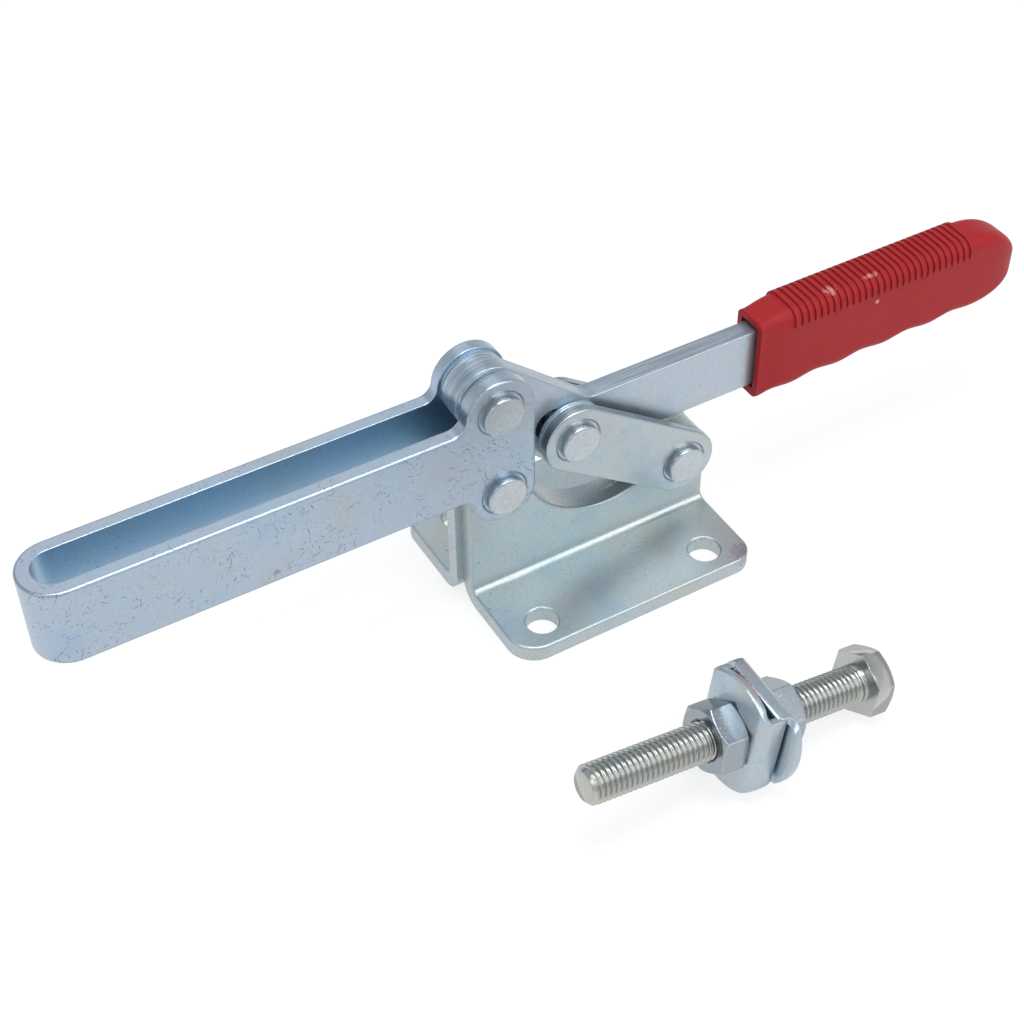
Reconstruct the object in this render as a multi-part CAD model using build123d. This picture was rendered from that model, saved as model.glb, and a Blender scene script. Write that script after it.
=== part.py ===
from build123d import *
from math import acos, atan2, cos, degrees, hypot, pi, radians, sin, sqrt, tan
import os

# Horizontal-handle toggle clamp with a flanged base, a slotted U-bar arm and its M12 spindle set.
# Frame: +Z up, z = 0 is the underside of the base flanges, the origin is the middle of the
# four mounting holes, the arm points towards -X and the handle towards +X. Millimetres.

# ---------------------------------------------------------------- driving dimensions
# pivots, as (x, z) in the plane of the mechanism
PIVOT_ARM_HANDLE = (-34.5, 80.3)
PIVOT_BASE_ARM = (-33.8, 48.6)
PIVOT_LINK_HANDLE = (-6.8, 55.5)
PIVOT_BASE_LINK = (33.0, 27.9)

# base plates
PLATE_T = 5.45
BEND_R = 2.6
FLANGE_REACH = 37.0
FLANGE_CORNER_R = 9.3
FLANGE_SMALL_CORNER_R = 7.0
FAR_PLATE_LEAD = 2.3
HOLE_D = 10.5
HOLE_PITCH_X = 60.6
HOLE_PITCH_Y = 53.8
HOLE_MOUTH = 0.4
PRESSED_EDGE_R = 0.8
FRONT_LOBE_R = 9.3
REAR_LOBE_R = 10.6
REAR_LOBE_RISE = 0.8
SADDLE_CENTRE = (7.3, 51.7)
SADDLE_R = 30.9
SADDLE_BLEND_R = 5.0

# U-bar arm
SLOT_W = 13.24
ARM_T = 4.45
ARM_TOP = 77.4
ARM_BOTTOM = 50.3
ARM_REACH = 176.8
EAR_UPPER_R = 11.3
EAR_LOWER_R = 10.8
EAR_BLEND_R = 4.5
ARM_EDGE_R = 0.8

# handle lever
LEVER_T = 6.56
EYE_R = 10.7
LEVER_TOP = 65.1
LEVER_BOTTOM = 43.6
LEVER_BLEND_R = 8.0
LEVER_EDGE_R = 0.4
LEVER_END = 148.0
LEVER_END_R = 6.0
TOGGLE_TRAVEL = 9.2
TOGGLE_DRIFT = 1.75
TOGGLE_DRIFT_MIDDLE = 0.41

# links and the washers beside them
LINK_T = 3.1
LINK_FRONT_R = 11.4
LINK_REAR_R = 11.3
LINK_WASHER_T = 0.5
LINK_WASHER_R = 9.0
RINGS_PER_STACK = 3
RING_R = 11.0
RING_EDGE = 0.15
LINK_EDGE_R = 0.6
SPACER_R = 10.5
ARM_WASHER_R = 8.8

# riveted pivot pins
PIN_D = 8.0
HEAD_D = 13.1
HEAD_PROUD = 2.35
HEAD_RIM_R = 0.5
COIN_D = 15.6
COIN_DEPTH = 0.6
COIN_FLANK = 0.48

# running clearances
PIN_FIT = 0.06
SIDE_PLAY = 0.05

# grip
GRIP_START = 61.7
GRIP_END = 169.2
NOSE_START = 146.0
NOSE_SECTION_ANGLES = (20, 40, 57, 70, 80)
NOSE_HEIGHT = 51.5
GRIP_TOP = 70.4
GRIP_FLOOR = 39.7
GRIP_FLOOR_RISE = 1.7
GRIP_HALF_W = 7.6
COLLAR_HALF_W = 6.4
COLLAR_LENGTH = 12.0
COLLAR_TOP = 68.7
COLLAR_FLOOR = 39.5
GRIP_CORNER_R = 4.3
COLLAR_CORNER_R = 2.5
WAVE_FIRST = 94.3
WAVE_PITCH = 18.8
WAVE_HALF = 0.55
MOUTH_GAP_Y = 0.95
MOUTH_GAP_Z = 1.2
MOUTH_DEPTH = 12.0
BAND_START = 73.6
BAND_END = 146.0
BAND_RAISE = 0.75
BAND_SKIRT = 64.9
GROOVE_FIRST = 75.3
GROOVE_PITCH = 2.5
GROOVE_COUNT = 29
GROOVE_W = 1.05
GROOVE_DEPTH = 0.6

# spindle set, lying beside the clamp
THREAD_D = 11.9
SCREW_LENGTH = 97.1
SCREW_TIP_CHAMFER = 1.4
HEX_AF = 19.0
HEAD_H = 6.8
NUT_H = 9.0
NUT_CHAMFER_ANGLE = 30.0
NUT_FACE_D = 18.62
NUT_MOUTH = 0.6
THREAD_FIT = 0.08
NUT_AT = 40.7
FLANGED_R = 18.5
FLANGED_T = 2.5
FLANGED_BORE = 13.0
LIP_HALF_SPAN = 14.6
LIP_DEPTH = 9.2
LIP_BEND_R = 1.0
SPINDLE_TIP = (-62.4, -101.9)
SPINDLE_HEADING = 1.1
HEX_TURN = 30.0
FRONT_NUT_TURN = -5.6
FRONT_WASHER_TURN = 6.0

# ---------------------------------------------------------------- values worked out from them
SLOT_HALF = SLOT_W / 2
ARM_HALF = SLOT_HALF + ARM_T
LEVER_HALF = LEVER_T / 2
LINK_IN = PLATE_T + LINK_WASHER_T
LINK_OUT = LINK_IN + LINK_T
BASE_FRONT = PIVOT_BASE_ARM[0] - FRONT_LOBE_R
BASE_REAR = PIVOT_BASE_LINK[0] + REAR_LOBE_R
ARM_REAR = PIVOT_BASE_ARM[0] + EAR_LOWER_R
C_LOBE_R = PIVOT_LINK_HANDLE[1] - LEVER_BOTTOM
REAR_LOBE = (PIVOT_BASE_LINK[0], PIVOT_BASE_LINK[1] + REAR_LOBE_RISE)
BLANK_H = 2 * (PIVOT_BASE_ARM[1] + FRONT_LOBE_R)
SKIRT_SPAN = 2 * (GRIP_TOP - GRIP_FLOOR)


def plate(profile, y_from, y_to):
    """Extrude an (x, z) profile across the clamp, from y_from to y_to."""
    return Pos(0, y_to, 0) * extrude(Plane.XZ * profile, amount=y_to - y_from)


def disc(centre, radius):
    return Pos(*centre) * Circle(radius)


def box_profile(x_from, x_to, z_from, z_to):
    return Pos((x_from + x_to) / 2, (z_from + z_to) / 2) * Rectangle(x_to - x_from, z_to - z_from)


def capsule(centre_a, radius_a, centre_b, radius_b):
    """Outline around two circles joined by their outer tangents."""
    return make_hull((disc(centre_a, radius_a) + disc(centre_b, radius_b)).edges())


def vertex_near(profile, x, z):
    return profile.vertices().sort_by_distance((x, z, 0))[0]


def round_across(solid, radius, x, z):
    """Round the corner at (x, z) of a solid extruded across the clamp."""
    across = solid.edges().filter_by(Axis.Y)
    corner = across.sort_by(lambda edge: hypot(edge.center().X - x, edge.center().Z - z))[0]
    return fillet(corner, radius)


def outline_edges(face):
    return face.outer_wire().edges()


def side_pair(make, *args):
    """The near piece, on the -Y side, and its mirror image on the far side."""
    near = make(*args)
    return near, mirror(near, about=Plane.XZ)


def coined_hole(centre, face_y):
    """Pivot hole through the near plates with the coined ring around the rivet head."""
    hole = plate(disc(centre, PIN_D / 2), face_y, 0)
    ring = plate(disc(centre, COIN_D / 2), face_y, face_y + COIN_DEPTH)
    return hole + chamfer(ring.faces().sort_by(Axis.Y)[-1].edges(), COIN_FLANK)


# ---------------------------------------------------------------- base
def upright_profile():
    """Side outline: front lobe at the arm pivot, rear lobe at the link pivot, saddle between."""
    front_x, front_z = PIVOT_BASE_ARM
    saddle_x, saddle_z = SADDLE_CENTRE
    gap = hypot(saddle_x - front_x, saddle_z - front_z)
    turn = atan2(saddle_z - front_z, saddle_x - front_x) + acos((FRONT_LOBE_R + SADDLE_R) / gap)
    lobe_side = (front_x + FRONT_LOBE_R * cos(turn), front_z + FRONT_LOBE_R * sin(turn))
    saddle_side = (saddle_x - SADDLE_R * cos(turn), saddle_z - SADDLE_R * sin(turn))
    front = make_face(Polyline(
        (BASE_FRONT, 0), (BASE_FRONT, front_z), PIVOT_BASE_ARM, lobe_side, saddle_side,
        (saddle_x, saddle_side[1]), (saddle_x, 0), close=True))
    rear = box_profile(saddle_x, BASE_REAR, 0, REAR_LOBE[1])
    outline = front + rear - disc(SADDLE_CENTRE, SADDLE_R)
    return outline + disc(PIVOT_BASE_ARM, FRONT_LOBE_R) + disc(REAR_LOBE, REAR_LOBE_R)


def bolt_hole():
    """Hole through a flange with its upper edge broken."""
    bore = extrude(Circle(HOLE_D / 2), amount=PLATE_T)
    mouth = Cone(HOLE_D / 2, HOLE_D / 2 + HOLE_MOUTH, HOLE_MOUTH)
    return bore + Pos(0, 0, PLATE_T - HOLE_MOUTH / 2) * mouth


def base_plate(lead, front_corner_r):
    """Bent angle plate; lead is how much further its front edge stands out past the other plate."""
    section = make_face(Polyline(
        (-FLANGE_REACH, 0), (0, 0), (0, BLANK_H), (-PLATE_T, BLANK_H), (-PLATE_T, PLATE_T),
        (-FLANGE_REACH, PLATE_T), close=True))
    section = fillet(vertex_near(section, 0, 0), BEND_R + PLATE_T)
    section = fillet(vertex_near(section, -PLATE_T, PLATE_T), BEND_R)
    front = BASE_FRONT - lead
    angle = Pos(front, 0, 0) * extrude(Plane.YZ * section, amount=BASE_REAR - front)

    upright = plate(upright_profile(), -FLANGE_REACH, 0)
    upright = round_across(upright, SADDLE_BLEND_R, REAR_LOBE[0] - REAR_LOBE_R, REAR_LOBE[1])
    if lead > 0:
        lobe_x, lobe_z = PIVOT_BASE_ARM
        column = capsule((lobe_x - lead, lobe_z), FRONT_LOBE_R, PIVOT_BASE_ARM, FRONT_LOBE_R)
        upright += plate(column + box_profile(front, lobe_x, 0, lobe_z), -FLANGE_REACH, 0)

    flange = box_profile(front, BASE_REAR, -FLANGE_REACH, FLANGE_REACH)
    flange = fillet(flange.vertices().sort_by(Axis.X)[:2], front_corner_r)
    flange = fillet(flange.vertices().sort_by(Axis.X)[-2:], FLANGE_SMALL_CORNER_R)
    solid = angle & upright & extrude(flange, amount=BLANK_H)
    # one smooth chain runs round the pressed side, so its outermost edge carries the rounding all round
    flange_rim = solid.edges().filter_by(Axis.X).group_by(Axis.Y)[0].sort_by(Axis.Z)[-1]
    solid = fillet(flange_rim, PRESSED_EDGE_R)

    for x in (-HOLE_PITCH_X / 2, HOLE_PITCH_X / 2):
        solid -= Pos(x, -HOLE_PITCH_Y / 2, 0) * bolt_hole()
    for centre in (PIVOT_BASE_ARM, PIVOT_BASE_LINK):
        solid -= plate(disc(centre, PIN_D / 2 + PIN_FIT), -PLATE_T, 0)
    return solid


# ---------------------------------------------------------------- arm
def u_bar_arm():
    """Bar bent into a U round the closed tip, with an ear on each leg for the two pivots."""
    nose_x = -ARM_REACH + ARM_HALF
    legs = box_profile(nose_x, ARM_REAR, -ARM_HALF, ARM_HALF) + disc((nose_x, 0), ARM_HALF)
    slot = box_profile(nose_x, ARM_REAR, -SLOT_HALF, SLOT_HALF) + disc((nose_x, 0), SLOT_HALF)
    side = box_profile(-ARM_REACH, PIVOT_BASE_ARM[0], ARM_BOTTOM, ARM_TOP)
    ear = capsule(PIVOT_ARM_HANDLE, EAR_UPPER_R, PIVOT_BASE_ARM, EAR_LOWER_R)
    side = plate(side + ear, -ARM_HALF, ARM_HALF)
    side = round_across(side, EAR_BLEND_R, PIVOT_ARM_HANDLE[0] - EAR_UPPER_R, ARM_TOP)
    side = round_across(side, EAR_BLEND_R, PIVOT_BASE_ARM[0] - EAR_LOWER_R, ARM_BOTTOM)
    bar = side & extrude(legs - slot, amount=2 * ARM_TOP)
    rim = bar.faces().filter_by(Plane.XZ).sort_by(Axis.Y)
    edges = rim[0].edges() + rim[-1].edges()
    bar = fillet(edges, ARM_EDGE_R)
    for centre in (PIVOT_ARM_HANDLE, PIVOT_BASE_ARM):
        near = coined_hole(centre, -ARM_HALF)
        bar -= near + mirror(near, about=Plane.XZ)
    return bar


# ---------------------------------------------------------------- handle
def handle_lever():
    """Flat lever: eye at the arm pivot, lobe at the link pivot, straight bar into the grip."""
    neck = capsule(PIVOT_ARM_HANDLE, EYE_R, PIVOT_LINK_HANDLE, C_LOBE_R)
    bar = box_profile(PIVOT_LINK_HANDLE[0], LEVER_END, LEVER_BOTTOM, LEVER_TOP)
    bar = fillet(bar.vertices().sort_by(Axis.X)[-2:], LEVER_END_R)
    lever = plate(neck + bar, -LEVER_HALF, LEVER_HALF)
    lever = round_across(lever, LEVER_BLEND_R, 0, LEVER_TOP)
    sides = lever.faces().filter_by(Axis.Y).sort_by(Axis.Y)
    lever = fillet(outline_edges(sides[0]) + outline_edges(sides[-1]), LEVER_EDGE_R)

    # the link pin runs a little way up the neck and back as the clamp opens
    neck_x = PIVOT_ARM_HANDLE[0] - PIVOT_LINK_HANDLE[0]
    neck_z = PIVOT_ARM_HANDLE[1] - PIVOT_LINK_HANDLE[1]
    inset = sqrt(TOGGLE_DRIFT ** 2 - TOGGLE_DRIFT_MIDDLE ** 2)
    slot = SlotCenterToCenter(TOGGLE_TRAVEL - 2 * inset, PIN_D + 2 * TOGGLE_DRIFT + 2 * PIN_FIT)
    slot = Rot(0, 0, degrees(atan2(neck_z, neck_x))) * Pos(TOGGLE_TRAVEL / 2, TOGGLE_DRIFT_MIDDLE) * slot
    slot = Pos(*PIVOT_LINK_HANDLE) * slot + disc(PIVOT_ARM_HANDLE, PIN_D / 2 + PIN_FIT)
    return lever - plate(slot, -LEVER_HALF, LEVER_HALF)


def grip_section(x):
    """Rounded cross-section of the grip at x: waved underside, rounded nose."""
    lead = min(max((x - GRIP_START) / COLLAR_LENGTH, 0), 1)
    blend = lead * lead * (3 - 2 * lead)
    half_w = COLLAR_HALF_W + (GRIP_HALF_W - COLLAR_HALF_W) * blend
    corner = COLLAR_CORNER_R + (GRIP_CORNER_R - COLLAR_CORNER_R) * blend
    rise = GRIP_FLOOR_RISE * (x - GRIP_START) / (NOSE_START - GRIP_START)
    wave = -WAVE_HALF * cos(2 * pi * (x - WAVE_FIRST) / WAVE_PITCH)
    floor = COLLAR_FLOOR + (GRIP_FLOOR - COLLAR_FLOOR) * blend + (rise + wave) * blend
    top = COLLAR_TOP + (GRIP_TOP - COLLAR_TOP) * blend
    if x > NOSE_START:
        reach = (x - NOSE_START) / (GRIP_END - NOSE_START)
        round_off = sqrt(1 - reach * reach)
        end_floor = GRIP_FLOOR + GRIP_FLOOR_RISE - WAVE_HALF
        top = NOSE_HEIGHT + (GRIP_TOP - NOSE_HEIGHT) * round_off
        floor = NOSE_HEIGHT - (NOSE_HEIGHT - end_floor) * round_off
        half_w = GRIP_HALF_W * sqrt(1 - reach ** 4)
        corner = GRIP_CORNER_R * sqrt(1 - reach ** 4)
    face = Pos(0, (floor + top) / 2) * RectangleRounded(2 * half_w, top - floor, corner)
    return Plane.YZ.offset(x) * face


def over_skirt():
    """Everything above the lower edge of the ribbed band, as a (y, z) profile."""
    return Pos(0, BAND_SKIRT + SKIRT_SPAN / 2) * Rectangle(SKIRT_SPAN, SKIRT_SPAN)


def band_arch(stand_out):
    """Arch over the back of the grip that stands out from it, ending at the skirt."""
    width = 2 * (GRIP_HALF_W + stand_out)
    arch = RectangleRounded(width, SKIRT_SPAN, GRIP_CORNER_R + stand_out)
    return Pos(0, GRIP_TOP + stand_out - SKIRT_SPAN / 2) * arch & over_skirt()


def handle_grip(lever):
    """Moulded grip: collar with an open mouth, ribbed band over the back, four finger waves."""
    waves = int((NOSE_START - GRIP_START - COLLAR_LENGTH) / (WAVE_PITCH / 4)) + 1
    body_x = [NOSE_START - i * WAVE_PITCH / 4 for i in range(waves)]
    collar_x = [GRIP_START + COLLAR_LENGTH * i / 3 for i in range(3)]
    nose_x = [NOSE_START + (GRIP_END - NOSE_START) * sin(radians(a)) for a in NOSE_SECTION_ANGLES]
    stations = sorted(collar_x + [x for x in body_x if x > GRIP_START + COLLAR_LENGTH] + nose_x)
    grip = loft([grip_section(x) for x in stations])

    band = extrude(Plane.YZ * band_arch(BAND_RAISE), amount=BAND_END - BAND_START)
    grip += Pos(BAND_START, 0, 0) * band
    groove = over_skirt() - band_arch(BAND_RAISE - GROOVE_DEPTH)
    groove = extrude(Plane.YZ * groove, amount=GROOVE_W)
    grip -= [Pos(GROOVE_FIRST + GROOVE_PITCH * i, 0, 0) * groove for i in range(GROOVE_COUNT)]

    mouth = plate(box_profile(GRIP_START, GRIP_START + MOUTH_DEPTH, LEVER_BOTTOM - MOUTH_GAP_Z,
                              LEVER_TOP + MOUTH_GAP_Z), -LEVER_HALF - MOUTH_GAP_Y, LEVER_HALF + MOUTH_GAP_Y)
    return grip - lever - mouth


# ---------------------------------------------------------------- links, washers and pins
def link():
    outline = capsule(PIVOT_LINK_HANDLE, LINK_FRONT_R, PIVOT_BASE_LINK, LINK_REAR_R)
    solid = plate(outline, -LINK_OUT, -LINK_IN)
    solid = fillet(outline_edges(solid.faces().sort_by(Axis.Y)[0]), LINK_EDGE_R)
    for centre in (PIVOT_LINK_HANDLE, PIVOT_BASE_LINK):
        solid -= coined_hole(centre, -LINK_OUT)
    return solid


def washer(centre, radius, y_from, y_to):
    return plate(disc(centre, radius) - disc(centre, PIN_D / 2 + PIN_FIT), y_from, y_to)


def toggle_ring(centre, radius, y_from, y_to):
    """Washer of the stack beside the lever, its outer edges broken on both sides."""
    ring = washer(centre, radius, y_from, y_to)
    sides = ring.faces().filter_by(Axis.Y)
    return chamfer(outline_edges(sides[0]) + outline_edges(sides[-1]), RING_EDGE)


def pivot_pin(centre, face_y):
    """Headed pin through the whole joint; each head stands proud of its coined ring."""
    half = face_y - COIN_DEPTH
    shank = plate(disc(centre, PIN_D / 2), -half, half)
    head = plate(disc(centre, HEAD_D / 2), half, face_y + HEAD_PROUD)
    head = fillet(head.faces().sort_by(Axis.Y)[-1].edges(), HEAD_RIM_R)
    return shank + head + mirror(head, about=Plane.XZ)


# ---------------------------------------------------------------- spindle set
def hex_block(height, turn, chamfer_bottom, chamfer_top):
    """Hexagonal prism whose corners are turned off conically on the stated ends."""
    corner = HEX_AF / sqrt(3)
    flat = NUT_FACE_D / 2
    hexagon = RegularPolygon(HEX_AF / 2, 6, major_radius=False, rotation=HEX_TURN + turn)
    drop = (corner - flat) * tan(radians(NUT_CHAMFER_ANGLE))
    turned = [(0, 0)]
    turned += [(flat, 0), (corner, drop)] if chamfer_bottom else [(corner, 0)]
    turned += [(corner, height - drop), (flat, height)] if chamfer_top else [(corner, height)]
    turned += [(0, height)]
    turning = make_face(Polyline(*turned, close=True))
    return extrude(hexagon, amount=height) & revolve(Plane.XZ * turning, axis=Axis.Z)


def spindle_bolt():
    shank = Cylinder(THREAD_D / 2, SCREW_LENGTH, align=(Align.CENTER, Align.CENTER, Align.MIN))
    shank = chamfer(shank.edges().sort_by(Axis.Z)[0], SCREW_TIP_CHAMFER)
    # head at the far end of the shank, its turned-off corners outwards
    return shank + Pos(0, 0, SCREW_LENGTH) * hex_block(HEAD_H, 0, False, True)


def spindle_nut(at, turn):
    """Plain hexagon nut, countersunk at both ends of its bore."""
    bore_r = THREAD_D / 2 + THREAD_FIT
    mouth_r = bore_r + NUT_MOUTH
    bore = make_face(Polyline(
        (0, 0), (mouth_r, 0), (bore_r, NUT_MOUTH), (bore_r, NUT_H - NUT_MOUTH), (mouth_r, NUT_H),
        (0, NUT_H), close=True))
    return Pos(0, 0, at) * (hex_block(NUT_H, turn, True, True) - revolve(Plane.XZ * bore, axis=Axis.Z))


def flanged_washer():
    """Round plate with two lips folded up square that grip the outside of the arm."""
    inner = LIP_HALF_SPAN - FLANGED_T
    channel = make_face(Polyline(
        (-LIP_HALF_SPAN, 0), (LIP_HALF_SPAN, 0), (LIP_HALF_SPAN, LIP_DEPTH), (inner, LIP_DEPTH),
        (inner, FLANGED_T), (-inner, FLANGED_T), (-inner, LIP_DEPTH), (-LIP_HALF_SPAN, LIP_DEPTH),
        close=True))
    for side in (-1, 1):
        channel = fillet(vertex_near(channel, side * LIP_HALF_SPAN, 0), LIP_BEND_R + FLANGED_T)
        channel = fillet(vertex_near(channel, side * inner, FLANGED_T), LIP_BEND_R)
    lip_width = 2 * sqrt(FLANGED_R ** 2 - LIP_HALF_SPAN ** 2)
    folded = Pos(0, FLANGED_R, 0) * extrude(Plane.XZ * channel, amount=2 * FLANGED_R)
    blank = extrude(Circle(FLANGED_R), amount=FLANGED_T)
    blank += extrude(Rectangle(2 * LIP_HALF_SPAN, lip_width), amount=LIP_DEPTH)
    return (folded & blank) - extrude(Circle(FLANGED_BORE / 2), amount=FLANGED_T)


def spindle_frame():
    """The spindle lies on the rim of the front flanged washer and on one corner of its head."""
    corner = HEX_AF / sqrt(3)
    rim_at = NUT_AT + NUT_H + FLANGED_T
    dip = atan2(FLANGED_R - corner, SCREW_LENGTH - rim_at)
    heading = radians(SPINDLE_HEADING)
    axis = Vector(cos(heading) * cos(dip), sin(heading) * cos(dip), -sin(dip))
    level = Vector(-sin(heading), cos(heading), 0)
    tip_height = FLANGED_R * cos(dip) + rim_at * sin(dip)
    return Plane(origin=(*SPINDLE_TIP, tip_height), x_dir=level, z_dir=axis)


# ---------------------------------------------------------------- the pieces
parts = {}
parts["base_plate_near"] = base_plate(0, FLANGE_CORNER_R)
parts["base_plate_far"] = mirror(base_plate(FAR_PLATE_LEAD, FLANGE_SMALL_CORNER_R), about=Plane.XZ)
parts["u_bar_arm"] = u_bar_arm()
parts["handle_lever"] = handle_lever()
parts["handle_grip"] = handle_grip(parts["handle_lever"])
parts["link_near"], parts["link_far"] = side_pair(link)

parts["pin_arm_handle"] = pivot_pin(PIVOT_ARM_HANDLE, ARM_HALF)
parts["pin_base_arm"] = pivot_pin(PIVOT_BASE_ARM, ARM_HALF)
parts["pin_link_handle"] = pivot_pin(PIVOT_LINK_HANDLE, LINK_OUT)
parts["pin_base_link"] = pivot_pin(PIVOT_BASE_LINK, LINK_OUT)

parts["handle_spacer_near"], parts["handle_spacer_far"] = side_pair(
    washer, PIVOT_ARM_HANDLE, SPACER_R, -SLOT_HALF, -LEVER_HALF - SIDE_PLAY)
parts["arm_washer_near"], parts["arm_washer_far"] = side_pair(
    washer, PIVOT_BASE_ARM, ARM_WASHER_R, -SLOT_HALF, -PLATE_T - SIDE_PLAY)
parts["link_washer_near"], parts["link_washer_far"] = side_pair(
    washer, PIVOT_BASE_LINK, LINK_WASHER_R, -LINK_IN, -PLATE_T - SIDE_PLAY)
ring_t = (LINK_IN - LEVER_HALF - SIDE_PLAY) / RINGS_PER_STACK
for i in range(RINGS_PER_STACK):
    outer_y = -LINK_IN + i * ring_t
    near, far = side_pair(toggle_ring, PIVOT_LINK_HANDLE, RING_R, outer_y, outer_y + ring_t)
    parts[f"toggle_ring_near_{i + 1}"] = near
    parts[f"toggle_ring_far_{i + 1}"] = far

front_plate_at = NUT_AT + NUT_H
rear_plate_at = front_plate_at + LIP_DEPTH + FLANGED_T
lying = spindle_frame()
parts["spindle_bolt"] = lying * spindle_bolt()
parts["spindle_nut_front"] = lying * spindle_nut(NUT_AT, FRONT_NUT_TURN)
parts["spindle_nut_rear"] = lying * spindle_nut(rear_plate_at, 0)
parts["flanged_washer_front"] = (
    lying * Pos(0, 0, front_plate_at) * Rot(0, 0, FRONT_WASHER_TURN) * flanged_washer())
parts["flanged_washer_rear"] = (
    lying * Pos(0, 0, rear_plate_at) * Rot(0, 0, 90 + FRONT_WASHER_TURN) * Rot(180, 0, 0)
    * flanged_washer())

os.makedirs("parts", exist_ok=True)
for name, solid in parts.items():
    export_step(solid, f"parts/{name}.step")
    print(name, round(solid.volume, 1))
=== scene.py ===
# %% [markdown]
# A toggle clamp in bright zinc, with its screw spindle lying beside it
# The solids come packed as a frame, in metres, and stay exactly where they are. These cells add what the solids leave
# plain: the camera, the light, the finishes, the screw thread and two washers folded from sheet.

# %% Load the frame
import math
import bmesh
import bpy
from mathutils import Matrix, Vector


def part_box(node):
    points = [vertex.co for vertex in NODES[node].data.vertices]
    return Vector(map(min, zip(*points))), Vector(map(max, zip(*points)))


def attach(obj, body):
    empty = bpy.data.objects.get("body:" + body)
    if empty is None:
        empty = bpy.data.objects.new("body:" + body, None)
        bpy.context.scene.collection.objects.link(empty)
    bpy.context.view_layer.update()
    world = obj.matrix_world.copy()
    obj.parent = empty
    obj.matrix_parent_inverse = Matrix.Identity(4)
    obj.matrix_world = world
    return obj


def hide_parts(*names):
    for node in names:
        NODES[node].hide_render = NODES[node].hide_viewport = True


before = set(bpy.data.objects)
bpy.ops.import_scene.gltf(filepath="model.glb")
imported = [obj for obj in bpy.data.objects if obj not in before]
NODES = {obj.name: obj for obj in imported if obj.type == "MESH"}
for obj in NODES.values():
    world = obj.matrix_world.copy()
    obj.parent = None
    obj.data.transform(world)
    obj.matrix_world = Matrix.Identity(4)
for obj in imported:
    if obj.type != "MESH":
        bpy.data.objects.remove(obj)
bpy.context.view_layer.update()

MM = 0.001
print("nodes in the frame:", len(NODES))

# %% [markdown]
# Helpers for every finish
# Paint charts and screens give colours in sRGB, but a shader works with light, which adds up only when the colours
# are linear. One function turns the hex values. Another adds a node with its settings and its links in one call, so
# that a finish reads as a short list of what feeds what. The nodes that every finish is built from, a mix, a range, a
# sum and a noise, have names of their own, and each gives back its output, ready to feed the next.

# %% Colours and nodes
WHITE = (1, 1, 1, 1)


def linear(hex_colour):
    """An sRGB hex colour such as "a9b7c4" as a linear RGBA value."""
    channels = [int(hex_colour[i:i + 2], 16) / 255 for i in (0, 2, 4)]
    return tuple(c / 12.92 if c <= 0.04045 else ((c + 0.055) / 1.055) ** 2.4 for c in channels) + (1.0,)


def node(tree, kind, inputs=None, **settings):
    """Add a node. Settings are its properties; inputs maps a socket's name or index to a value or an output."""
    made = tree.nodes.new(kind)
    for name, value in settings.items():
        setattr(made, name, value)
    for key, value in (inputs or {}).items():
        if isinstance(value, bpy.types.NodeSocket):
            tree.links.new(value, made.inputs[key])
        else:
            made.inputs[key].default_value = value
    return made


def blend(tree, factor, first, second, **settings):
    """A mix between two colours."""
    return node(tree, "ShaderNodeMix", {"Factor": factor, 6: first, 7: second}, data_type="RGBA",
                **settings).outputs[2]


def ramp(tree, value, low, high, to_low=0.0, to_high=1.0, **settings):
    """A value mapped from one range to another, and held within it."""
    return node(tree, "ShaderNodeMapRange", {"Value": value, "From Min": low, "From Max": high, "To Min": to_low,
                                             "To Max": to_high}, **settings).outputs[0]


def maths(tree, operation, *values, **settings):
    """The result of one operation on numbers."""
    return node(tree, "ShaderNodeMath", dict(enumerate(values)), operation=operation, **settings).outputs[0]


def vector_maths(tree, operation, *values):
    """The result of one operation on vectors: a number for a length or a dot product, or else a vector."""
    made = node(tree, "ShaderNodeVectorMath", dict(enumerate(values)), operation=operation)
    return made.outputs["Value" if operation in ("LENGTH", "DOT_PRODUCT") else "Vector"]


def noise(tree, vector, scale, detail=3.0, roughness=0.55):
    """The value of a noise texture."""
    return node(tree, "ShaderNodeTexNoise", {"Vector": vector, "Scale": scale, "Detail": detail,
                                             "Roughness": roughness}).outputs["Fac"]


def in_millimetres(tree):
    """The place on the piece in millimetres, so that the scale of a texture is a real size."""
    here = node(tree, "ShaderNodeTexCoord").outputs["Object"]
    return node(tree, "ShaderNodeVectorMath", {0: here, "Scale": 1 / MM}, operation="SCALE").outputs[0]


def empty_material(name):
    """A material without nodes."""
    made = bpy.data.materials.new(name)
    made.use_nodes = True
    made.node_tree.nodes.clear()
    return made


def placed(name, data):
    """A new object in the scene."""
    made = bpy.data.objects.new(name, data)
    bpy.context.scene.collection.objects.link(made)
    return made


print("zinc blue, linear:", [round(c, 3) for c in linear("a9b7c4")])

# %% [markdown]
# Camera
# The clamp is seen from its left front corner, from well above. The camera looks at a point near the base plates
# through a lens a little longer than normal, with a slight roll. It could be placed by its coordinates, but aim,
# distance and two angles are easier to reason about.

# %% Camera
AIM = Vector((-20.47, 8.16, 18.06)) * MM
DISTANCE = 600.32 * MM
AZIMUTH = math.radians(-29.75)
ELEVATION = math.radians(44.14)
ROLL = math.radians(-0.83)
LENS_MM = 66.31
SENSOR_MM = 36

back = Vector((math.sin(AZIMUTH) * math.cos(ELEVATION), -math.cos(AZIMUTH) * math.cos(ELEVATION),
               math.sin(ELEVATION)))
side = (-back).cross(Vector((0, 0, 1))).normalized()
over = side.cross(-back)
right = side * math.cos(ROLL) + over * math.sin(ROLL)
up = over * math.cos(ROLL) - side * math.sin(ROLL)

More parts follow.
